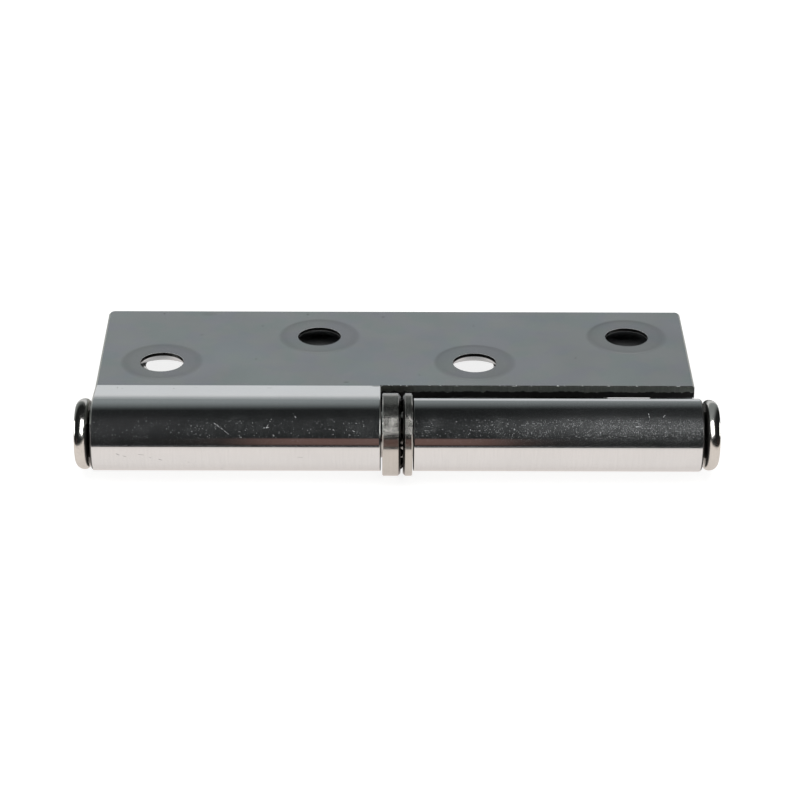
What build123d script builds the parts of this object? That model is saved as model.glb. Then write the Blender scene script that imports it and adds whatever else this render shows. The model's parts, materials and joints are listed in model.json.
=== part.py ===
from build123d import *
import os
from math import asin, atan2, cos, degrees, hypot, radians, sin, tan

os.makedirs("parts", exist_ok=True)

# Lift-off butt hinge, closed until its leaves meet along their far edges.
# Both leaves are the same stamping, one of them turned over.
# Each piece is shaped about the pin: X runs along the pin with 0 at mid-length,
# Y runs back from the pin across the leaf, and Z stands on the leaf's back face.

# Leaves, each folded from one piece of steel strip (millimetres)
leaf_length = 100.0
half_width = 37.5              # pin axis to far edge, so 75 across when open
sheet = 2.2
knuckle_radius = 6.05          # outside of the rolled eye
back_face_height = 5.0         # pin axis to the leaf's back face
crease_distance = 8.0          # pin axis to the crease on the back face
crease_bend_radius = 2.0       # of the middle of the strip
seam_angle = 28.0              # where the roll ends, up from the leaf's plane
knuckle_length = 47.6
knuckle_end_corner = 1.1       # far corner at the knuckle's end of the leaf
slot_end_corner = 0.9          # far corner at the slot's end
outer_bevel = 0.3              # round the outline of the back face
slot_bevel = 0.12              # along the slot
clean_cut_depth = 1.1          # smooth part of a cut edge, beyond it the metal broke
break_slope = 6.0              # degrees, how far the broken part leans in

# Screw holes, staggered, countersunk from the inner face
first_hole = 10.5              # from the leaf's end that has the knuckle
hole_pitch = 26.5
near_row = 17.0                # pin axis to the row nearer the pin
far_row = 27.2
hole_count = 4
hole_radius = 3.7
hole_land = 0.7                # straight part of the hole, at the back face
countersink_angle = 90.0
press_ring_radius = 6.8        # shallow mark round each hole on the back face
press_ring_depth = 0.04
press_ring_slope = 0.6         # width of the mark's sloping border
overcut = 0.2                  # how far a cutter runs past the face it opens
touching = 0.01                # nearer than this, two shapes meet

# Pin, pressed into the pin leaf's knuckle and running in the other
pin_radius = 3.8
pin_start = 6.5                # from the leaf's end
pin_end = 91.5
pin_tip_chamfer = 0.9
pin_foot_chamfer = 0.3
grip_start = 12.0              # knurled stretch, from the leaf's end
grip_length = 14.0
grip_grooves = 24
grip_groove_half_width = 0.22

# Button caps that close both knuckles
cap_radius = 5.85
cap_head = 2.25
cap_outer_round = 1.45
cap_inner_bead = 0.75          # rounded part of the rim, beside the knuckle
cap_inner_drop = 0.35          # how much smaller the rim is at its inner face
cap_crown = 0.18               # rise of the end face at its middle
plug_length = 5.5
plug_chamfer = 0.4
pin_leaf_cap_gap = 0.35
socket_leaf_cap_gap = 0.45

# Thrust bearing between the knuckles
ring_radius = 6.85
ring_chamfer = 0.15
race_side_chamfer = 0.4        # of the sides that face each other across the balls
cup_gap = 0.25                 # pin leaf's knuckle to cup
cup_thickness = 3.0
cup_wall = 0.6
race_gap = 0.38                # cup to washer, bridged by the balls
washer_thickness = 1.55
washer_gap = 0.15              # washer to the socket leaf's knuckle
washer_clearance = 0.08        # round the pin
ball_count = 12
ball_radius = 0.794
ball_circle = 5.1
ball_clearance = 0.03
race_depth = 0.12
cage_thickness = 0.5
cage_inner = 4.0
cage_outer = 6.1
pocket_clearance = 0.04

# Rest pose, the far edges a hair apart
closing_angle = 8.2

# Worked out from the dimensions above
bore_radius = knuckle_radius - sheet
middle_radius = knuckle_radius - sheet / 2
middle_height = back_face_height - sheet / 2
inner_face_height = back_face_height - sheet
crease_reach = hypot(crease_distance, back_face_height)
ramp_angle = degrees(asin(knuckle_radius / crease_reach) - atan2(back_face_height, crease_distance))
ramp_sin = sin(radians(ramp_angle))
ramp_cos = cos(radians(ramp_angle))
crease_middle = (middle_radius - middle_height * ramp_cos) / ramp_sin
flat_start = crease_middle + crease_bend_radius * (1 - ramp_cos) / ramp_sin
left_end = -leaf_length / 2
slot_side = left_end + knuckle_length
cup_start = slot_side + cup_gap
washer_start = cup_start + cup_thickness + race_gap
socket_start = washer_start + washer_thickness + washer_gap
socket_shift = socket_start + slot_side
race_reach = ball_radius + ball_clearance
ball_place = washer_start + race_depth - race_reach
recess_floor = ball_place - race_reach + race_depth


def strip_side(offset):
    """One side of the folded strip, this far from its middle towards the back face."""
    bend_centre = (flat_start, middle_height + crease_bend_radius)
    bend = CenterArc(bend_centre, crease_bend_radius - offset, 270, -ramp_angle)
    roll_sweep = 270 + ramp_angle + seam_angle
    roll = CenterArc((0, 0), middle_radius + offset, 90 - ramp_angle, roll_sweep)
    flat = Line((half_width, middle_height + offset), bend @ 0)
    ramp = Line(bend @ 1, roll @ 0)
    return [flat, bend, ramp, roll]


def folded_strip():
    """The strip's section, flat, crease, ramp and rolled eye, over the whole length."""
    back = strip_side(sheet / 2)
    inner = strip_side(-sheet / 2)
    ends = [Line(back[0] @ 0, inner[0] @ 0), Line(back[-1] @ 1, inner[-1] @ 1)]
    section = make_face(Curve() + back + inner + ends)
    return Pos(X=left_end) * extrude(Plane.YZ * section, leaf_length)


def slot_cutter():
    """Space for the other knuckle; the broken half of its cut edge leans in."""
    outside = knuckle_radius + 1
    clean_end = back_face_height - clean_cut_depth
    bottom = inner_face_height - overcut
    lean = (clean_end - bottom) * tan(radians(break_slope))
    corners = [
        (-outside, -outside),
        (flat_start + lean, -outside),
        (flat_start + lean, bottom),
        (flat_start, clean_end),
        (flat_start, outside),
        (-outside, outside),
    ]
    section = make_face(Polyline(*corners, close=True))
    return Pos(X=slot_side) * extrude(Plane.YZ * section, leaf_length)


def screw_hole():
    """Cutter for one hole: land at the back face, countersink, and the press mark."""
    sink_depth = sheet - hole_land + overcut
    sink_radius = hole_radius + sink_depth * tan(radians(countersink_angle / 2))
    land = Pos(Z=back_face_height - hole_land / 2) * Cylinder(hole_radius, hole_land + overcut)
    sink_middle = inner_face_height - overcut + sink_depth / 2
    sink = Pos(Z=sink_middle) * Cone(sink_radius, hole_radius, sink_depth)
    mark_inside = press_ring_radius - press_ring_slope
    mark_outside = press_ring_radius + press_ring_slope
    mark = Pos(Z=back_face_height) * Cone(mark_inside, mark_outside, 2 * press_ring_depth)
    return land + sink + mark


def back_face_rim(leaf, where):
    """Edges round the back of the leaf, from plate to eye, whose middles pass the given test."""
    back_line = Plane.YZ * (Curve() + strip_side(sheet / 2))
    rim = ShapeList()
    for edge in leaf.edges():
        middle = edge @ 0.5
        if where(middle) and back_line.distance_to(Vertex(0, middle.Y, middle.Z)) < touching:
            rim.append(edge)
    return rim


def on_outline(place):
    """True on the two ends and the far edge."""
    return abs(place.X) > -left_end - outer_bevel or place.Y > half_width - outer_bevel


def on_slot_edge(place):
    """True on the edge that faces the other knuckle."""
    return place.X > slot_side + touching and abs(place.Y - flat_start) < touching


def on_knuckle_side(place):
    """True on the end of the knuckle beside the slot."""
    return abs(place.X - slot_side) < touching


def bevel_cut_edges(leaf):
    """Bevels the outline of the back face, then the slot's edge, then the knuckle beside it."""
    for where, bevel in ((on_outline, outer_bevel), (on_slot_edge, slot_bevel), (on_knuckle_side, slot_bevel)):
        leaf = chamfer(back_face_rim(leaf, where), bevel)
    return leaf


def stamped_leaf():
    """The leaf that serves for both sides, its knuckle at the left end and its back face up."""
    leaf = folded_strip() - slot_cutter()
    corners = leaf.edges().filter_by(Axis.Z).group_by(Axis.Y)[-1].sort_by(Axis.X)
    leaf = fillet(corners[0], knuckle_end_corner)
    corners = leaf.edges().filter_by(Axis.Z).group_by(Axis.Y)[-1].sort_by(Axis.X)
    leaf = fillet(corners[-1], slot_end_corner)
    leaf = bevel_cut_edges(leaf)
    cutter = screw_hole()
    for index in range(hole_count):
        row = (near_row, far_row)[index % 2]
        leaf -= Pos(X=left_end + first_hole + index * hole_pitch, Y=row) * cutter
    return leaf


def turned(radius, start, end):
    """Round bar about the pin axis, between two places along it."""
    return Pos(X=(start + end) / 2) * Rot(Y=90) * Cylinder(radius, end - start)


def hinge_pin():
    """Round pin with a chamfered tip and a knurled grip."""
    foot = left_end + pin_start
    tip = left_end + pin_end
    pin = turned(pin_radius, foot, tip)
    ends = pin.edges().sort_by(Axis.X)
    pin = chamfer(ends[-1], pin_tip_chamfer)
    pin = chamfer(pin.edges().sort_by(Axis.X)[0], pin_foot_chamfer)
    grip_from = left_end + grip_start
    pin += turned(bore_radius, grip_from, grip_from + grip_length)
    groove = Pos(X=grip_from + grip_length / 2, Z=bore_radius) * Rot(X=45) * Box(
        grip_length, 2 * grip_groove_half_width, 2 * grip_groove_half_width)
    for index in range(grip_grooves):
        pin -= Rot(X=index * 360 / grip_grooves) * groove
    return pin


def end_cap():
    """Button head with a plug for the knuckle's bore; the head's inner face is at 0."""
    outline = Polyline(
        (cap_head + cap_crown, 0),
        (-plug_length, 0),
        (-plug_length, bore_radius - plug_chamfer),
        (plug_chamfer - plug_length, bore_radius),
        (0, bore_radius),
        (0, cap_radius - cap_inner_drop),
    )
    bead = TangentArc((cap_inner_bead, cap_radius), (0, cap_radius - cap_inner_drop), tangent=(-1, 0))
    rim = Line((cap_inner_bead, cap_radius), (cap_head, cap_radius))
    crown = TangentArc((cap_head + cap_crown, 0), (cap_head, cap_radius), tangent=(0, 1))
    half = make_face(Curve() + [outline, bead, rim, crown])
    corner = half.vertices().sort_by_distance((cap_head, cap_radius))[0]
    return revolve(fillet(corner, cap_outer_round), Axis.X)


def race_ring(start, thickness, bore, race_side):
    """Flat ring with chamfered rims and the groove that the balls run in; race_side is 0 or -1."""
    ring = turned(ring_radius, start, start + thickness)
    ring = chamfer(ring.edges().filter_by(GeomType.CIRCLE).sort_by(Axis.X)[race_side], race_side_chamfer)
    ring = chamfer(ring.edges().filter_by(GeomType.CIRCLE).sort_by(Axis.X)[-1 - race_side], ring_chamfer)
    ring -= turned(bore, start - overcut, start + thickness + overcut)
    return ring - Pos(X=ball_place) * Rot(Y=90) * Torus(ball_circle, race_reach)


def bearing_cup():
    """Race ring with a recess that shelters the cage."""
    cup = race_ring(cup_start, cup_thickness, pin_radius, -1)
    recess = turned(ring_radius - cup_wall, recess_floor, cup_start + cup_thickness + overcut)
    return cup - recess


def round_the_pin(shape, index):
    """The shape turned to its place in the ring of balls."""
    return Rot(X=index * 360 / ball_count) * shape


def ball_cage():
    """Thin ring with a round pocket for each ball."""
    half = cage_thickness / 2
    cage = turned(cage_outer, ball_place - half, ball_place + half)
    cage -= turned(cage_inner, ball_place - half - overcut, ball_place + half + overcut)
    pocket = Pos(Z=ball_circle) * turned(
        ball_radius + pocket_clearance, ball_place - half - overcut, ball_place + half + overcut)
    for index in range(ball_count):
        cage -= round_the_pin(pocket, index)
    return cage


def place_and_write(shape, name):
    """Moves the middle of the socket leaf's hole rows, on its back face, to Y 0 and Z 0, and writes."""
    pattern_middle = (near_row + far_row) / 2
    export_step(Pos(Y=-pattern_middle, Z=back_face_height) * shape, f"parts/{name}.step")


cap = end_cap()
ball = Pos(X=ball_place, Z=ball_circle) * Sphere(ball_radius)
washer = race_ring(washer_start, washer_thickness, pin_radius + washer_clearance, 0)
leaf = stamped_leaf()

place_and_write(Rot(X=-closing_angle) * leaf, "pin_leaf")
place_and_write(Pos(X=socket_shift) * Rot(Y=180) * leaf, "socket_leaf")
place_and_write(hinge_pin(), "hinge_pin")
place_and_write(Pos(X=left_end - pin_leaf_cap_gap) * Rot(Z=180) * cap, "pin_leaf_cap")
place_and_write(Pos(X=socket_shift + socket_leaf_cap_gap - left_end) * cap, "socket_leaf_cap")
place_and_write(bearing_cup(), "bearing_cup")
place_and_write(washer, "bearing_washer")
place_and_write(ball_cage(), "ball_cage")
for number in range(ball_count):
    place_and_write(round_the_pin(ball, number), f"bearing_ball_{number + 1:02d}")
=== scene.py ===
# A plated lift-off hinge, closed, on white paper between two softboxes.
import json
import math

import bpy
import numpy as np
from mathutils import Matrix, Vector


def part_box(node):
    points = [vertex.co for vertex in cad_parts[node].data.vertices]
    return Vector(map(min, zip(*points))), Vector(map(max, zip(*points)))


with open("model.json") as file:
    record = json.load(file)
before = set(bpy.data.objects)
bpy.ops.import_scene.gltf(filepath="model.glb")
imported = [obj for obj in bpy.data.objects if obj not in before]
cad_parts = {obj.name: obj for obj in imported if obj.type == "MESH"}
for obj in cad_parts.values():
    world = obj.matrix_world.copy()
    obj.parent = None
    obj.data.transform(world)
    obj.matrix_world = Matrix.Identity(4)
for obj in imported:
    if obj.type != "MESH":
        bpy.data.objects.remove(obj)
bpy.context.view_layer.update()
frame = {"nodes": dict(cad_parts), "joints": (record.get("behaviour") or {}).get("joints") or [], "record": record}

mm = 0.001
degree = math.pi / 180
record = frame["record"]
mountAxis = {mount["name"]: Vector(mount["axis"]) for mount in record["mounts"]}
pinAxis = Vector(next(joint["pos_m"] for joint in frame["joints"] if joint["name"] == "swing"))
pinLeafOut = mountAxis["pin_leaf_back"]
pinLeafTilt = math.atan2(pinLeafOut.y, pinLeafOut.z)       # how far the upper leaf closes past level
alongPin = (1, 0, 0)


class Wire:  # one output socket, so that sums and products of sockets read as Python
    def __init__(self, sheet, socket):
        self.sheet = sheet
        self.socket = socket

    def maths(self, operation, *inputs):
        node = self.sheet.put("ShaderNodeMath", {"operation": operation}, dict(enumerate(inputs)))
        return Wire(self.sheet, node.outputs[0])

    def __add__(self, other):
        return self.maths("ADD", self, other)

    def __mul__(self, other):
        return self.maths("MULTIPLY", self, other)

    def __sub__(self, other):
        return self.maths("SUBTRACT", self, other)

    def __rsub__(self, other):
        return self.maths("SUBTRACT", other, self)

    def __pow__(self, other):
        return self.maths("POWER", self, other)

    def __abs__(self):
        return self.maths("ABSOLUTE", self)

    __radd__ = __add__
    __rmul__ = __mul__

    def least(self, other):
        return self.maths("MINIMUM", self, other)

    def most(self, other):
        return self.maths("MAXIMUM", self, other)

    def smooth(self, low, high, start=0.0, end=1.0):  # eased step from start at low to end at high
        return self.sheet.get("ShaderNodeMapRange", {"interpolation_type": "SMOOTHSTEP"},
                              {0: self, 1: low, 2: high, 3: start, 4: end})

    def band(self, low, high, soft):  # 1 between low and high, 0 outside
        return self.smooth(low - soft, low + soft) * self.smooth(high - soft, high + soft, 1.0, 0.0)


class Sheet:  # the node tree of one material or world
    def __init__(self, owner):
        owner.use_nodes = True
        self.tree = owner.node_tree
        self.tree.nodes.clear()

    def put(self, kind, settings=None, sockets=None):
        node = self.tree.nodes.new(kind)
        for name, value in (settings or {}).items():
            setattr(node, name, value)
        for name, value in (sockets or {}).items():
            if isinstance(value, Wire):
                self.tree.links.new(value.socket, node.inputs[name])
            else:
                node.inputs[name].default_value = value
        return node

    def get(self, kind, settings=None, sockets=None, output=0):
        return Wire(self, self.put(kind, settings, sockets).outputs[output])

    def axes(self, vector):
        node = self.put("ShaderNodeSeparateXYZ", None, {0: vector})
        return [Wire(self, socket) for socket in node.outputs]

    def vector(self, x, y, z):
        return self.get("ShaderNodeCombineXYZ", None, {0: x, 1: y, 2: z})

    def stretched(self, vector, scale):
        return self.get("ShaderNodeMapping", None, {0: vector, 3: scale})

    def dot(self, vector, fixed):
        return self.get("ShaderNodeVectorMath", {"operation": "DOT_PRODUCT"}, {0: vector, 1: tuple(fixed)}, 1)

    def noise(self, vector, scale, detail=3.0, output=0):
        sockets = {"Vector": vector, "Scale": scale, "Detail": detail}
        return self.get("ShaderNodeTexNoise", None, sockets, output)

    def mix(self, factor, first, second, blend="MIX"):  # of two colours
        settings = {"data_type": "RGBA", "blend_type": blend}
        return self.get("ShaderNodeMix", settings, {0: factor, 6: first, 7: second}, 2)

    def tint(self, colour, shade):  # a colour made lighter or darker by a number
        level = self.get("ShaderNodeCombineColor", None, {0: shade, 1: shade, 2: shade})
        return self.mix(1.0, colour, level, "MULTIPLY")

    def metal(self, colour, roughness, normal=None):
        sockets = {"Base Color": colour, "Metallic": 1.0, "Roughness": roughness}
        if normal:
            sockets["Normal"] = normal
        return self.get("ShaderNodeBsdfPrincipled", None, sockets)

    def dull(self, colour):
        sockets = {"Base Color": colour, "Metallic": 0.0, "Roughness": 0.8}
        return self.get("ShaderNodeBsdfPrincipled", None, sockets)

    def blendSkins(self, factor, first, second):
        return self.get("ShaderNodeMixShader", None, {0: factor, 1: first, 2: second})

    def show(self, skin):
        self.put("ShaderNodeOutputMaterial", None, {0: skin})


def grey(level):
    return (level, level, level, 1.0)


camera = {
    "turn": 0.48, "rise": 26.67, "roll": 0.36,     # degrees, about the upper leaf's plane
    "distance": 506 * mm, "lens": 134.9,
    "aim": Vector((0, 12, 0)) * mm,                # from the pin's middle, in the upper leaf's plane
    "right": 0.84 * mm, "up": 0.30 * mm,
    "nearest": 10 * mm,
}


def placeCamera(c):
    # looks along a turned and lowered line, then rolls about it, and all of it leans with the upper leaf
    turn, rise, roll = (c[name] * degree for name in ("turn", "rise", "roll"))
    ahead = Vector((math.sin(turn) * math.cos(rise), math.cos(turn) * math.cos(rise), -math.sin(rise)))
    right = Vector((math.cos(turn), -math.sin(turn), 0))
    up = right.cross(ahead)
    place = c["aim"] + right * c["right"] + up * c["up"] - ahead * c["distance"]
    sideways = right * math.cos(roll) + up * math.sin(roll)
    upright = up * math.cos(roll) - right * math.sin(roll)
    lean = Matrix.Rotation(-pinLeafTilt, 3, "X")
    view = (lean @ Matrix((sideways, upright, -ahead)).transposed()).to_4x4()
    view.translation = pinAxis + lean @ place
    data = bpy.data.cameras.new("camera")
    data.sensor_width = 36
    data.lens = c["lens"]
    data.clip_start = c["nearest"]
    holder = bpy.data.objects.new("camera", data)
    bpy.context.collection.objects.link(holder)
    holder.matrix_world = view
    bpy.context.scene.camera = holder


# the hinge lies on its bearing rings and one far edge, so the paper slopes under it
paperSlope = 2.83 * degree
paperPlace = Matrix.Rotation(paperSlope, 4, "X")
paperPlace.translation = Vector((0, -21.8, -1.84)) * mm    # where the rings touch it

paperSheet = {
    "across": 3.0,                                         # metres
    "tone": (1, 1, 0.985, 1),
    "lit": 0.8, "litSeen": 0.3, "litMirrored": 0.2,        # how much light it takes, and as seen or mirrored
    "glowSeen": 0.84,                                      # the rest of its white is its own
    "glowFront": (0.77, 0.685, 0.64, 1.0), "glowBack": (0.52, 0.535, 0.55, 1.0), "glowTurn": (-0.03, 0.08),
    "fade": (-0.11, -0.04), "faded": 0.84,
    "frontEdge": (-0.17, -0.12), "beyond": 0.016,          # in front of this the metal mirrors the dark
}


def layPaper(p):
    half = p["across"] / 2
    mesh = bpy.data.meshes.new("paper")
    corners = np.array([(-1, -1, 0), (1, -1, 0), (1, 1, 0), (-1, 1, 0)]) * half   # a flat square
    mesh.from_pydata(corners.tolist(), [], [(0, 1, 2, 3)])
    paper = bpy.data.objects.new("paper", mesh)
    bpy.context.collection.objects.link(paper)
    paper.matrix_world = paperPlace
    mesh.materials.append(whitePaper(p))


def whitePaper(p):
    material = bpy.data.materials.new("white paper")
    sheet = Sheet(material)
    path = sheet.put("ShaderNodeLightPath")
    seen = Wire(sheet, path.outputs["Is Camera Ray"])
    mirrored = Wire(sheet, path.outputs["Is Glossy Ray"]) + Wire(sheet, path.outputs["Is Transmission Ray"])
    x, y, z = sheet.axes(sheet.get("ShaderNodeTexCoord", None, None, 3))
    near = y.smooth(*p["frontEdge"])
    level = p["lit"] + seen * (p["litSeen"] - p["lit"]) + mirrored * (p["litMirrored"] - p["lit"])
    colour = sheet.tint(p["tone"], level * (1 - mirrored * (1 - near)))
    lit = sheet.get("ShaderNodeBsdfDiffuse", None, {"Color": colour})
    glow = sheet.mix(y.smooth(*p["glowTurn"]), p["glowFront"], p["glowBack"])
    glow = sheet.tint(glow, y.smooth(*p["fade"], p["faded"], 1.0))
    glow = sheet.mix(near, grey(p["beyond"]), glow)
    glow = sheet.mix(seen, glow, grey(p["glowSeen"]))
    own = sheet.get("ShaderNodeEmission", None, {0: glow, 1: seen + mirrored})
    sheet.show(sheet.get("ShaderNodeAddShader", None, {0: lit, 1: own}))
    return material


lamps = {
    "power": 11, "wide": 0.7, "deep": 1.12, "far": 1.6,    # watts and metres
    "lean": 56, "round": 111,       # degrees: out of the pin's cross plane, and round it from the back
    "topPower": 1.9, "topSpread": 60,
}


def hangSoftbox(s, side):
    lean, turn = s["lean"] * degree, s["round"] * degree
    data = bpy.data.lights.new("softbox", "AREA")
    data.shape = "RECTANGLE"
    data.size = s["wide"]
    data.size_y = s["deep"]
    data.energy = s["power"]
    box = bpy.data.objects.new("softbox", data)
    bpy.context.collection.objects.link(box)
    level = math.cos(lean)
    outward = Vector((side * math.sin(lean), level * math.cos(turn), level * math.sin(turn)))
    along = Vector((0, -math.sin(turn), math.cos(turn)))
    stand = Matrix((along.cross(outward), along, outward)).transposed().to_4x4()
    stand.translation = outward * s["far"]
    box.matrix_world = paperPlace @ stand


def hangTopLight(s):  # soft, and not mirrored in the metal
    data = bpy.data.lights.new("top light", "SUN")
    data.energy = s["topPower"]
    data.angle = s["topSpread"] * degree
    top = bpy.data.objects.new("top light", data)
    bpy.context.collection.objects.link(top)
    top.matrix_world = paperPlace
    top.visible_glossy = False


room = {
    # angles are in degrees round the pin's line, from the horizon behind, over the top, to the one in front
    "low": 0.77, "lowTo": 9,
    "wall": 0.30, "wallHigh": 0.235, "wallShades": (14, 30), "wallTint": (0.93, 1.0, 1.0, 1),
    "wallTop": 23, "darkFrom": 60, "dark": 0.016,
    "slant": 66,                           # degrees that the wall's top edge drops per unit to the right
    "brown": (0.17, 0.10, 0.085, 1.0), "brownFrom": 155.5, "brownTo": 175.5, "brownSoft": 3,
    "brownHalf": 0.034, "brownFades": 0.051,
}


def paintRoom(r):
    # bright low behind, a grey wall, black above, a brown stretch low in front; plain white to the camera
    world = bpy.context.scene.world or bpy.data.worlds.new("studio")
    bpy.context.scene.world = world
    sheet = Sheet(world)
    direction = sheet.get("ShaderNodeTexCoord")
    level = sheet.get("ShaderNodeMapping", {"vector_type": "POINT"}, {0: direction, 2: (-paperSlope, 0, 0)})
    x, y, z = sheet.axes(level)
    angle = z.maths("ARCTAN2", z, y) * (1 / degree)
    slanted = angle + x * r["slant"]
    wall = slanted.smooth(*r["wallShades"], r["wall"], r["wallHigh"])
    back = r["dark"] + (wall - r["dark"]) * slanted.smooth(r["wallTop"], r["darkFrom"], 1, 0)
    colour = sheet.mix(angle.smooth(0, r["lowTo"], 1, 0), sheet.tint(r["wallTint"], back), grey(r["low"]))
    brown = angle.band(r["brownFrom"], r["brownTo"], r["brownSoft"])
    brown = brown * abs(x).smooth(r["brownHalf"], r["brownFades"], 1, 0)
    colour = sheet.mix(brown, colour, r["brown"])
    path = sheet.put("ShaderNodeLightPath")
    colour = sheet.mix(Wire(sheet, path.outputs["Is Camera Ray"]), colour, grey(1.0))
    light = sheet.get("ShaderNodeBackground", None, {0: colour, 1: 1.0})
    sheet.put("ShaderNodeOutputWorld", None, {0: light})


class Round:  # places about the pin, in millimetres and degrees
    def __init__(self, sheet):
        coordinates = sheet.get("ShaderNodeTexCoord", None, None, 3)
        shift = tuple(-value / mm for value in pinAxis)
        self.place = sheet.get("ShaderNodeMapping", None, {0: coordinates, 1: shift, 3: (1 / mm,) * 3})
        self.x, self.back, self.up = sheet.axes(self.place)
        self.radius = (self.back * self.back + self.up * self.up) ** 0.5
        upwards = self.up.maths("ARCTAN2", self.up, self.back * -1)        # from the front
        self.angle = upwards * (1 / degree)
        self.facing = sheet.get("ShaderNodeTexCoord", None, None, 1)


def leaned(sheet, way, swing, normal=None):  # the surface's normal, leaned some way
    push = sheet.get("ShaderNodeVectorMath", {"operation": "SCALE"}, {0: way, "Scale": swing})
    turned = {"convert_from": "OBJECT", "convert_to": "WORLD"}
    push = sheet.get("ShaderNodeVectorTransform", turned, {0: push})
    normal = normal or sheet.get("ShaderNodeNewGeometry", None, None, 1)
    tilted = sheet.get("ShaderNodeVectorMath", {"operation": "ADD"}, {0: normal, 1: push})
    return sheet.get("ShaderNodeVectorMath", {"operation": "NORMALIZE"}, {0: tilted})


def brushed(sheet, place, spread):  # leaned at random, as by fine scratches that run round the pin
    random = sheet.get("ShaderNodeTexWhiteNoise", {"noise_dimensions": "3D"}, {0: place})
    return leaned(sheet, alongPin, (random - 0.5) * (2 * spread))


leafFinish = {
    # millimetres: the barrel's radius and where it ends, the back face out from the pin and how deep it goes
    "knuckle": 6.05, "barrelTo": (6.2, 6.8), "backFace": 5.0, "backTo": (0.08, 0.15),
    # millimetres inward from the pin, then along it
    "backStarts": (7.9, 8.3), "flatStarts": (7.8, 8.4), "slotEdge": (7.9, 8.25),
    "knuckleEnds": {"pin_leaf": (-50.0, -2.4), "socket_leaf": (2.93, 50.53)},
    # plating
    "colour": (0.72, 0.74, 0.75, 1), "roughness": 0.07, "roughPatches": 0.03, "patchScale": 1.1,
    "clouds": 0.08, "cloudScale": 0.09, "films": (0.45, 0.6), "filmScale": 0.16,
    "greenish": (0.92, 1.0, 0.98, 1), "bluish": (0.98, 0.955, 1.04, 1),
    "hairShade": 0.1, "hairScale": (3.2, 0.02, 0.5),   # fine lines that run round the barrels
    "filmShade": 0.14, "film": (55, 110),  # dull film along the top of the socket leaf's barrel, in degrees
    "ease": 0.06,                          # how far the ramp leans forward where it meets the barrel
    "endLean": 0.8, "endRound": (0.25, 0.35),  # the barrel's left and right end look rounder over this width
    # scuffs, dust, and pale specks that are partly painted glints
    "haze": 0.021, "hazeRises": (20, 60), "scatter": 0.75, "scatterRoughness": 0.42,
    "speckAndHighlightColour": (0.8, 0.82, 0.83, 1), "dotScale": 6.0, "glintDotsBetween": (28, 60),
    "worn": (0.04, 0.65),                  # how much of a pale scratch is left, at least and at most
    "dust": 0.1, "dustColour": (0.66, 0.68, 0.69, 1),
    "dustTakes": 0.28,                     # what the dull film takes of the mirror
    # round marks that a press left about the holes, and the holes
    "markRadius": 6.85, "markSoft": 0.45, "markShade": 0.76, "rim": (5.4, 6.6), "rimShade": 0.2,
    "sinkTo": (5.6, 5.9), "holeRoughness": 0.1, "markRoughness": 0.03,
    # the holes' straight walls are painted near black: painted shade
    "holeWallShadeColour": (0.035, 0.035, 0.033, 1),
    # sheared edges: a burnished band, then broken metal behind a ragged border, near black partly from its
    # roughness and partly as painted shade
    "cutColour": (0.40, 0.415, 0.385, 1), "cutRoughness": 0.38, "cleanCut": 1.1, "ragged": 0.9,
    "brokenAndShadedColour": (0.05, 0.05, 0.05, 1), "brokenRoughness": 0.2,
    # painted highlights: pale lips at the top and foot of a hole's wall, as depth from and to and strength, and
    # pale specks where the slot's edge has burrs
    "lipHighlights": ((0.0, 0.12, 1.0), (0.64, 0.74, 0.25)), "burrDepth": (-0.05, 0.14), "burrHighlights": 0.55,
    "brightest": 0.8,
}

# how scuffed each barrel is and where its painted glints crowd, with crowds: from and to along the pin, and what
# haze and specks gain there
barrelWearAndGlints = {
    "pin_leaf": {
        "crowds": ((-32, -46, 0.25, 0.125), (-10, -4, 0.3, 0.15)),
        "patchyHaze": 0.5, "rise": (1.0, 1.0), "often": 0.38, "everywhere": 0.5, "pale": (0.03, 0.03),
    },
    "socket_leaf": {
        "crowds": ((8, 40, 2.7, 0.6), (10, 0, 0.0, 0.15)),
        "patchyHaze": 0.7, "rise": (0.5, 1.25), "often": 0.42, "everywhere": 0.7, "pale": (0.07, 0.12),
    },
}

# stains and specks on the pin leaf's back face, and one painted shadow: millimetres along the pin and inward, half
# lengths, darkening
plateStainsAndShade = [
    (-40.3, 36.2, 0.22, 0.5, 0.35), (-15.2, 36.0, 0.3, 0.5, 0.3), (-22.9, 31.2, 0.25, 0.4, 0.2),
    (-33.3, 27.6, 0.35, 0.5, 0.14), (-23.6, 18.1, 0.2, 0.4, 0.25), (13.7, 31.5, 0.2, 0.4, 0.2),
    (30.7, 18.8, 0.22, 0.4, 0.25), (4.1, 12.1, 0.2, 0.4, 0.2), (-32.5, 36.0, 1.6, 0.8, 0.13),
    (-3.3, 36.3, 1.0, 0.3, 0.12), (-2.0, 35.0, 0.35, 0.6, 0.2), (-8.2, 9.3, 0.5, 0.3, 0.3),
    # the darkest entry, at -3.2 along and 7.75 inward where the ramp meets the slot's edge, is a painted shadow
    (-3.2, 7.75, 0.9, 0.22, 0.75), (-46.2, 6.6, 0.12, 0.3, 0.4), (-45.4, 6.3, 0.1, 0.2, 0.35),
    (-36.8, 6.3, 0.15, 0.3, 0.25), (-20.9, 6.7, 0.6, 0.16, 0.2), (-33.2, 6.9, 0.5, 0.12, 0.12),
]

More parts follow.
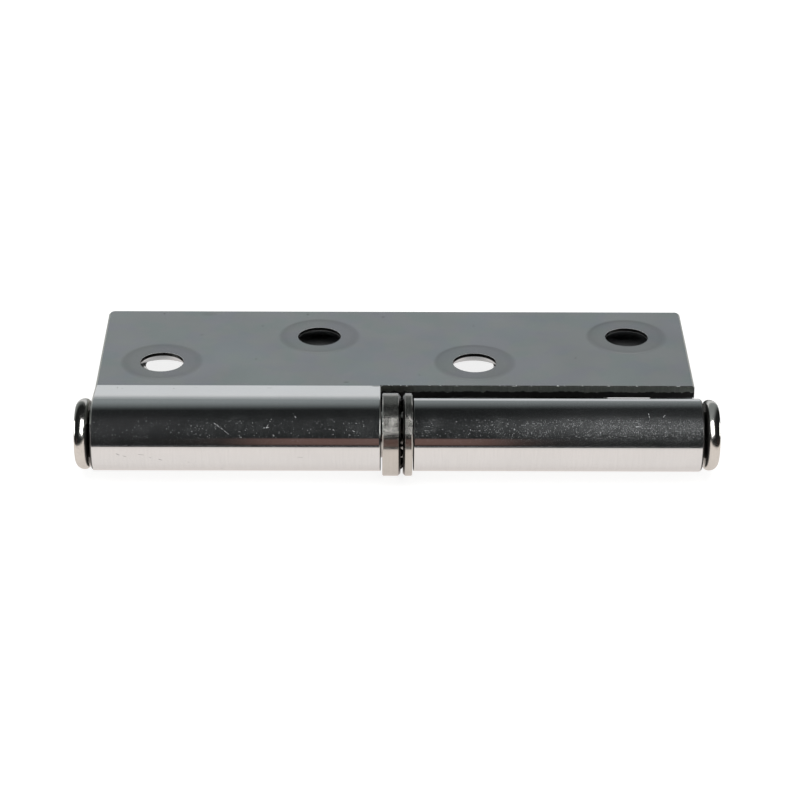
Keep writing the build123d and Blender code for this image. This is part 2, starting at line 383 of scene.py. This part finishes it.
# pale scratches on the barrels: millimetres along the pin and degrees round it, start and end, then width
paleStrokes = [
    (-29.6, 52.3, -28.2, 42.5, 0.08), (-28.2, 42.5, -26.8, 32.1, 0.06), (-36.6, 38.5, -36.6, 37.5, 0.14),
    (-25.4, 31.0, -25.2, 30.2, 0.14), (-16.7, 69.0, -16.3, 62.0, 0.08), (-20.3, 59.2, -21.1, 44.7, 0.07),
    (-20.6, 46.0, -21.6, 45.0, 0.08), (-20.0, 34.5, -19.8, 32.0, 0.11), (-11.5, 43.9, -11.3, 42.9, 0.13),
    (-10.2, 42.4, -10.0, 41.0, 0.11), (-7.1, 40.9, -6.8, 40.0, 0.12), (-7.6, 34.8, -7.4, 33.8, 0.12),
    (4.8, 55.6, 4.9, 54.0, 0.10), (9.9, 55.8, 9.9, 54.9, 0.11), (13.8, 49.5, 13.4, 47.5, 0.09),
    (12.2, 43.2, 12.3, 42.2, 0.10), (18.4, 52.8, 18.4, 51.8, 0.10), (19.4, 44.0, 19.6, 41.5, 0.15),
    (22.8, 45.1, 22.9, 44.0, 0.13), (28.2, 59.8, 28.3, 58.8, 0.10), (33.4, 41.0, 33.5, 38.0, 0.10),
    (41.4, 71.0, 41.6, 59.0, 0.10), (44.1, 67.8, 43.7, 63.0, 0.09), (39.3, 48.2, 40.4, 48.8, 0.10),
    (39.6, 41.2, 39.7, 40.0, 0.13), (41.9, 42.5, 42.0, 41.5, 0.13),
]

# dark specks low on the pin leaf's barrel, in the same measures
darkStrokes = [
    (-45.6, 2.5, -45.2, 0.5, 0.16), (-44.5, -1.5, -44.1, -2.5, 0.12), (-42.0, 1.5, -41.2, 0.5, 0.10),
    (-38.7, -8.0, -38.3, -9.6, 0.15), (-40.2, -4.0, -40.0, -5.0, 0.10), (-28.6, -33.5, -28.4, -34.5, 0.15),
    (-34.0, -14.0, -33.8, -15.0, 0.09), (-16.0, -3.0, -15.2, -3.5, 0.08),
]


class Leaf(Round):  # where a point lies on one leaf
    def __init__(self, sheet, name, f):
        super().__init__(sheet)
        self.sheet = sheet
        self.name = name
        outWay = mountAxis[name + "_back"]
        self.inwardWay = Vector((0, abs(outWay.z), -outWay.y))
        self.out = sheet.dot(self.place, outWay)
        self.inward = sheet.dot(self.place, self.inwardWay)
        self.faceOut = abs(sheet.dot(self.facing, outWay))
        self.faceEnd = abs(sheet.dot(self.facing, alongPin))
        self.depth = f["backFace"] - self.out
        self.onBack = self.depth.smooth(*f["backTo"], 1.0, 0.0) * self.inward.smooth(*f["backStarts"])
        self.flat = self.inward.smooth(*f["flatStarts"]) * self.faceOut.smooth(0.9, 0.98)
        self.onBarrel = self.radius.smooth(*f["barrelTo"], 1.0, 0.0)
        self.arc = self.angle * (degree * f["knuckle"])
        self.start, self.end = f["knuckleEnds"][name]

    def holes(self):  # the screw holes' places along the pin and inward from it
        for mount in record["mounts"]:
            if mount["name"].startswith(self.name + "_hole"):
                centre = (Vector(mount["pos_m"]) - pinAxis) / mm
                yield centre.x, centre.dot(self.inwardWay)

    def aboutHoles(self, f):  # how dark the press marks are, and 1 in the holes and their sinks
        marks, inHole = 0.0, 0.0
        inside, outside = f["markRadius"] - f["markSoft"], f["markRadius"] + f["markSoft"]
        for along, row in self.holes():
            distance = ((self.x - along) ** 2 + (self.inward - row) ** 2) ** 0.5
            rim = distance.band(*f["rim"], 0.5) * f["rimShade"]
            marks = distance.smooth(inside, outside, 1.0, 0.0) + rim + marks
            inHole = distance.smooth(*f["sinkTo"], 1.0, 0.0) + inHole
        return marks * self.onBack, inHole

    def stroke(self, mark, reach):
        # 1 on a straight scratch, easing to 0 over its width, by the distance to the line's nearest point
        startX, startAngle, endX, endAngle, width = mark
        startArc, endArc = (angle * degree * reach for angle in (startAngle, endAngle))
        runX, runArc = endX - startX, endArc - startArc
        fromX, fromArc = self.x - startX, self.arc - startArc
        along = (fromX * runX + fromArc * runArc) * (1 / (runX ** 2 + runArc ** 2))
        along = along.most(0.0).least(1.0)
        offX, offArc = fromX - along * runX, fromArc - along * runArc
        distance = (offX * offX + offArc * offArc) ** 0.5
        return distance.smooth(width * 0.2, width * 0.75, 1.0, 0.0)


def stainedAndShaded(leaf, f):  # what stains, specks, a film and one painted shadow leave of the light
    shade = 1.0
    if leaf.name == "pin_leaf":
        onTop = leaf.out.smooth(3.5, 4.5)
        for along, row, halfAlong, halfIn, dark in plateStainsAndShade:
            aside, apart = (leaf.x - along) * (1 / halfAlong), (leaf.inward - row) * (1 / halfIn)
            away = (aside ** 2 + apart ** 2) ** 0.5
            shade = shade * (1 - away.smooth(0.5, 1.1, dark, 0.0) * onTop)
        for speck in darkStrokes:
            shade = shade * (1 - leaf.stroke(speck, f["knuckle"]) * 0.35)
        return shade
    return 1 - leaf.angle.band(*f["film"], 12) * leaf.onBarrel * f["filmShade"]


def plated(leaf, marks, cloud, f):  # the plating's colour
    sheet = leaf.sheet
    along, about, across = f["hairScale"]
    around = sheet.vector(leaf.x * along, leaf.angle * about, leaf.radius * across)
    hairs = (sheet.noise(around, 1.0) - 0.4).most(0.0) * leaf.onBarrel * f["hairShade"]
    shade = (1 - marks * (1 - f["markShade"])) * stainedAndShaded(leaf, f) * (1 - hairs)
    shade = shade * (1 - f["clouds"] / 2 + cloud * f["clouds"])
    colour = sheet.tint(f["colour"], shade * (1 - leaf.flat * f["dustTakes"]))
    greenish, bluish, spare = sheet.axes(sheet.noise(leaf.place, f["filmScale"], 2.0, 1))
    for film, patches in (("greenish", greenish), ("bluish", bluish)):
        filmed = sheet.mix(1.0, colour, f[film], "MULTIPLY")
        colour = sheet.mix(leaf.onBack * patches.smooth(*f["films"]), colour, filmed)
    return colour


def easedNormal(leaf, f):  # leaned where the ramp meets the barrel, and at the barrel's two ends
    sheet = leaf.sheet
    ease = leaf.inward.smooth(0.8, 3.8, f["ease"], 0.0) * leaf.inward.smooth(-0.8, 0.5)
    normal = leaned(sheet, tuple(leaf.inwardWay * -1), ease * leaf.out.smooth(5.0, 5.3))
    atStart, atEnd = f["endRound"]
    edge = leaf.x.smooth(leaf.end - atEnd, leaf.end, 0.0, f["endLean"])
    edge = edge - leaf.x.smooth(leaf.start, leaf.start + atStart, f["endLean"], 0.0)
    return leaned(sheet, alongPin, edge * leaf.onBarrel, normal)


def barrelHazeAndGlints(leaf, f):
    # wide patches that scatter, then how pale each fine speck or scratch is; the specks lie only where the
    # softboxes glint, so they are partly dust and partly painted glints
    sheet, wearAndGlints = leaf.sheet, barrelWearAndGlints[leaf.name]
    patches = sheet.noise(leaf.place, 0.28).smooth(0.42, 0.68)
    haze, often = 1.0 + patches * wearAndGlints["patchyHaze"], wearAndGlints["often"]
    for start, end, moreHaze, moreSpecks in wearAndGlints["crowds"]:
        crowd = leaf.x.smooth(start, end)
        haze = haze + crowd * moreHaze
        often = crowd * moreSpecks + often
    haze = haze * leaf.angle.smooth(*f["hazeRises"], *wearAndGlints["rise"]) * f["haze"]
    often = often * (patches + wearAndGlints["everywhere"])
    pale = leaf.x.smooth(8, 40, *wearAndGlints["pale"])
    cells = sheet.put("ShaderNodeTexVoronoi", None, {"Vector": leaf.place, "Scale": f["dotScale"]})
    dots = Wire(sheet, cells.outputs["Distance"]).smooth(0.2, 0.55, 1.0, 0.0)
    chance, spare, strength = sheet.axes(Wire(sheet, cells.outputs["Color"]))
    specks = dots * (chance + often).smooth(0.98, 1.06) * (strength ** 4 * 0.4 + pale)
    # the pale dots are kept to the band of angles where the softboxes' glints fall: painted glints
    specks = specks * leaf.angle.band(*f["glintDotsBetween"], 9)
    worn = sheet.noise(leaf.place, 2.6, 2.0).smooth(0.42, 0.6, *f["worn"])
    for mark in paleStrokes:
        if leaf.start < mark[0] < leaf.end:
            specks = specks + leaf.stroke(mark, f["knuckle"]) * worn
    return (haze * leaf.onBarrel).least(1.0), (specks * leaf.onBarrel).least(1.0)


def shearedMetal(leaf, f):
    sheet = leaf.sheet
    wander = (sheet.noise(leaf.place, 0.9, 4.0) - 0.5) * f["ragged"]
    broken = (leaf.depth + wander).smooth(f["cleanCut"] - 0.05, f["cleanCut"] + 0.1)
    grain = sheet.noise(sheet.stretched(leaf.place, (3.0, 0.4, 0.4)), 1.0, 2.0)
    # the broken zone is near black partly from its rough broken metal and partly as painted shade
    colour = sheet.mix(broken, sheet.tint(f["cutColour"], 0.75 + grain * 0.5), f["brokenAndShadedColour"])
    return sheet.metal(colour, f["cutRoughness"] + broken * f["brokenRoughness"])


def paintedEdgeHighlights(leaf, inHole, f):  # painted highlights: thin pale lips round the holes, and pale specks along the slot's edge where its burrs are
    wall = leaf.faceOut.smooth(0.5, 0.9, 1.0, 0.0)
    lipHighlights = 0.0
    for top, foot, strength in f["lipHighlights"]:
        lipHighlights = leaf.depth.band(top, foot, 0.03) * strength + lipHighlights
    if leaf.name == "pin_leaf":
        besideSlot = leaf.x.smooth(leaf.end, leaf.end + 0.3)
    else:
        besideSlot = leaf.x.smooth(leaf.start - 0.3, leaf.start, 1.0, 0.0)
    onEdge = leaf.depth.band(*f["burrDepth"], 0.04) * leaf.inward.band(*f["slotEdge"], 0.05)
    burrGlints = leaf.sheet.noise(leaf.place, 2.6).smooth(0.58, 0.68, 0.0, f["burrHighlights"])
    return (inHole * lipHighlights * wall + besideSlot * onEdge * burrGlints).least(f["brightest"])


def leafPlating(name, f):
    # plating, then scuffs, specks that are partly painted glints, dust, cut edges with painted shade, hole walls
    # painted dark as shade, and painted edge highlights, each laid over the last
    material = bpy.data.materials.new(name.replace("_", " ") + " plating")
    sheet = Sheet(material)
    leaf = Leaf(sheet, name, f)
    marks, inHole = leaf.aboutHoles(f)
    cloud = sheet.noise(leaf.place, f["cloudScale"])
    colour = plated(leaf, marks, cloud, f)
    patches = (sheet.noise(leaf.place, f["patchScale"], 4.0) - 0.5) * f["roughPatches"]
    rough = f["roughness"] + patches + marks * f["markRoughness"] + inHole * f["holeRoughness"]
    skin = sheet.metal(colour, rough, easedNormal(leaf, f))

    haze, specks = barrelHazeAndGlints(leaf, f)
    scuffed = sheet.metal(colour, f["scatterRoughness"], brushed(sheet, leaf.place, f["scatter"]))
    skin = sheet.blendSkins(haze, skin, scuffed)
    skin = sheet.blendSkins(specks, skin, sheet.dull(f["speckAndHighlightColour"]))
    dust = leaf.flat * (0.7 + cloud * 0.6) * f["dust"]
    skin = sheet.blendSkins(dust, skin, sheet.dull(f["dustColour"]))

    upright = leaf.inward.smooth(6.5, 7.0) * (1 - leaf.faceOut.smooth(0.75, 0.9))
    sheared = leaf.faceEnd.smooth(0.5, 0.8).most(upright) * (1 - inHole)
    skin = sheet.blendSkins(sheared, skin, shearedMetal(leaf, f))
    # the holes' straight walls, painted near black as painted shade
    shadedHoleWalls = inHole * leaf.faceOut.smooth(0.3, 0.5, 1.0, 0.0)
    skin = sheet.blendSkins(shadedHoleWalls, skin, sheet.metal(f["holeWallShadeColour"], f["cutRoughness"]))
    sheet.show(sheet.blendSkins(paintedEdgeHighlights(leaf, inHole, f), skin, sheet.dull(f["speckAndHighlightColour"])))
    return material


ringFinish = {
    "colour": (0.565, 0.555, 0.525, 1), "roughness": 0.05, "lines": 5.0, "depth": 0.02 * mm, "bump": 0.15,
    "scattered": 0.3, "scatter": 0.65, "scatterRoughness": 0.25,
    "top": (80, 98), "topShade": 0.5,                        # degrees up from the front, over which the rings' tops are painted darker: painted shade
    "worn": (50, 72), "wornMore": 0.5,
    "gapShade": 0.16, "gapReach": 0.35,                      # painted shade where the two rings face each other
}


def turnedSteel(name, t):
    # cutting marks as rings: noise over the place along the pin and the distance from it
    material = bpy.data.materials.new(name)
    sheet = Sheet(material)
    here = Round(sheet)
    lines = sheet.noise(sheet.vector(here.x, here.radius, 0.0), t["lines"], 2.0)
    blotch = sheet.noise(here.place, 0.5)
    # the rings' tops are painted darker by topShade: painted shade on what they mirror
    shade = (0.9 + lines * 0.12 + blotch * 0.08) * here.angle.smooth(*t["top"], 1.0, t["topShade"])
    gapStart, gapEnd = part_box("bearing_cup")[1][0] / mm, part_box("bearing_washer")[0][0] / mm
    # painted shade over the gap between the two rings
    gapShaded = here.x.band(gapStart - t["gapReach"], gapEnd + t["gapReach"], 0.05)
    colour = sheet.tint(t["colour"], shade * (1 - gapShaded * (1 - t["gapShade"])))
    bump = sheet.get("ShaderNodeBump", None, {"Strength": t["bump"], "Distance": t["depth"], "Height": lines})
    smooth = sheet.metal(colour, t["roughness"] + lines * 0.06, bump)
    scattered = sheet.metal(colour, t["scatterRoughness"], brushed(sheet, here.place, t["scatter"]))
    patches = sheet.noise(here.place, 0.8).smooth(0.35, 0.65, 0.6, 1.3)
    worn = t["scattered"] * (1.0 + here.angle.band(*t["worn"], 8) * t["wornMore"])
    sheet.show(sheet.blendSkins(patches * worn, smooth, scattered))
    return material


capFinish = {
    "colour": (0.66, 0.65, 0.62, 1), "roughness": 0.14,
    "square": 0.65,                        # how much squarer the rim looks than it is
}


def capPlating(name, c):
    # polished, with a cloudy bloom and a few rub marks
    material = bpy.data.materials.new(name)
    sheet = Sheet(material)
    here = Round(sheet)
    blotch = sheet.noise(here.place, 0.35)
    rubbed = sheet.noise(here.place, 2.5, 4.0).smooth(0.5, 0.75)
    colour = sheet.tint(c["colour"], 0.93 + blotch * 0.12 - rubbed * 0.05)
    normal = leaned(sheet, alongPin, here.x.smooth(-1, 1, c["square"], -c["square"]))
    sheet.show(sheet.metal(colour, c["roughness"] + rubbed * 0.08 + blotch * 0.04, normal))
    return material


innerFinishes = {
    "pin steel": {
        "colour": (0.5, 0.5, 0.49, 1), "roughness": 0.22,
        "stretch": (4.0, 0.3, 0.3), "stain": (0.34, 0.31, 0.27, 1),
    },
    "ball steel": {
        "colour": (0.72, 0.72, 0.73, 1), "roughness": 0.05,
        "stretch": (1.0, 1.0, 1.0), "stain": (0.6, 0.58, 0.54, 1),
    },
    "cage brass": {
        "colour": (0.56, 0.43, 0.20, 1), "roughness": 0.24,
        "stretch": (0.6, 2.0, 2.0), "stain": (0.42, 0.29, 0.12, 1),
    },
}


def innerMetal(name, c):
    # ground or pressed metal: a stretched grain over a cloud of oil stain
    material = bpy.data.materials.new(name)
    sheet = Sheet(material)
    here = Round(sheet)
    grain = sheet.noise(sheet.stretched(here.place, c["stretch"]), 1.5)
    stain = sheet.noise(here.place, 0.45, 4.0).smooth(0.5, 0.72, 0.0, 0.6)
    colour = sheet.mix(stain, sheet.tint(c["colour"], 0.85 + grain * 0.3), c["stain"])
    bump = sheet.get("ShaderNodeBump", None, {"Strength": 0.2, "Distance": 0.01 * mm, "Height": grain})
    sheet.show(sheet.metal(colour, c["roughness"] + (grain - 0.5) * 0.1 + stain * 0.1, bump))
    return material


def dress(material, *nodes):
    for node in nodes:
        mesh = frame["nodes"][node].data
        mesh.materials.clear()
        mesh.materials.append(material)


placeCamera(camera)
layPaper(paperSheet)
for side in (-1, 1):
    hangSoftbox(lamps, side)
hangTopLight(lamps)
paintRoom(room)
bpy.context.scene.view_settings.view_transform = "Standard"
print("studio set")

for name in ("pin_leaf", "socket_leaf"):
    dress(leafPlating(name, leafFinish), name)
print("leaves plated")

dress(turnedSteel("turned steel", ringFinish), "bearing_cup", "bearing_washer")
dress(capPlating("cap plating", capFinish), "pin_leaf_cap", "socket_leaf_cap")
print("rings and caps finished")

innerNodes = {
    "pin steel": ["hinge_pin"],
    "cage brass": ["ball_cage"],
    "ball steel": [node for node in frame["nodes"] if node.startswith("bearing_ball")],
}
for name, nodes in innerNodes.items():
    dress(innerMetal(name, innerFinishes[name]), *nodes)
print("inner pieces finished")
